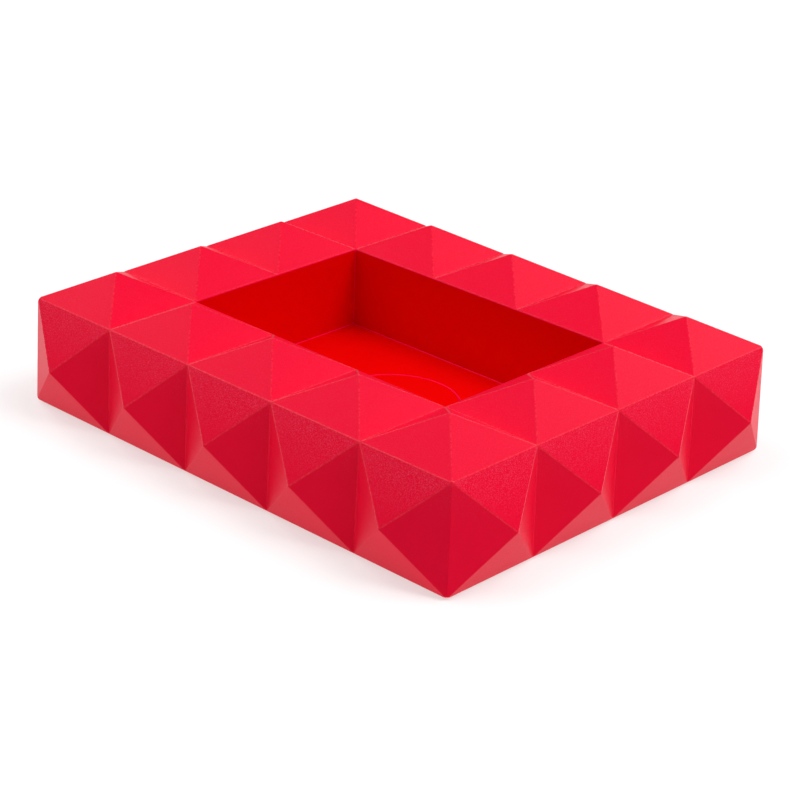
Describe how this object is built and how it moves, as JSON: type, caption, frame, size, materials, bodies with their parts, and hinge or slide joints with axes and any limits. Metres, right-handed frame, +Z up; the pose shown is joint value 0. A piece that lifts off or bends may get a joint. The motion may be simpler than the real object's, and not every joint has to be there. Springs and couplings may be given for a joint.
{
  "type": "resin casting mould",
  "caption": "Low rectangular casting mould with a faceted outside, a plain rectangular pocket and a round push-out disc in the pocket's floor.",
  "frame": {"origin": "middle of the footprint, on the surface that the mould stands on", "axes": "+X along the long side, +Y along the short side, +Z up out of the pocket"},
  "size_m": [0.165, 0.135, 0.0377],
  "materials": {
    "red_polypropylene": "satin, spark-eroded outside, smoother in the pocket",
    "zinc_plated_steel": "satin",
    "silicone_rubber": "matt",
    "pad_rubber": "matt"
  },
  "bodies": {
    "block": {"outer_shell": "red_polypropylene", "base_plate": "red_polypropylene", "base_screws": "zinc_plated_steel", "foot_pad_front_left": "pad_rubber", "foot_pad_front_right": "pad_rubber", "foot_pad_back_left": "pad_rubber", "foot_pad_back_right": "pad_rubber"},
    "disc": {"release_disc": "red_polypropylene", "disc_seal": "silicone_rubber"}
  },
  "joints": [
    {"name": "disc_lift", "type": "slide", "parent": "block", "child": "disc", "axis": [0, 0, 1], "range_m": [0, 0.0226]}
  ]
}
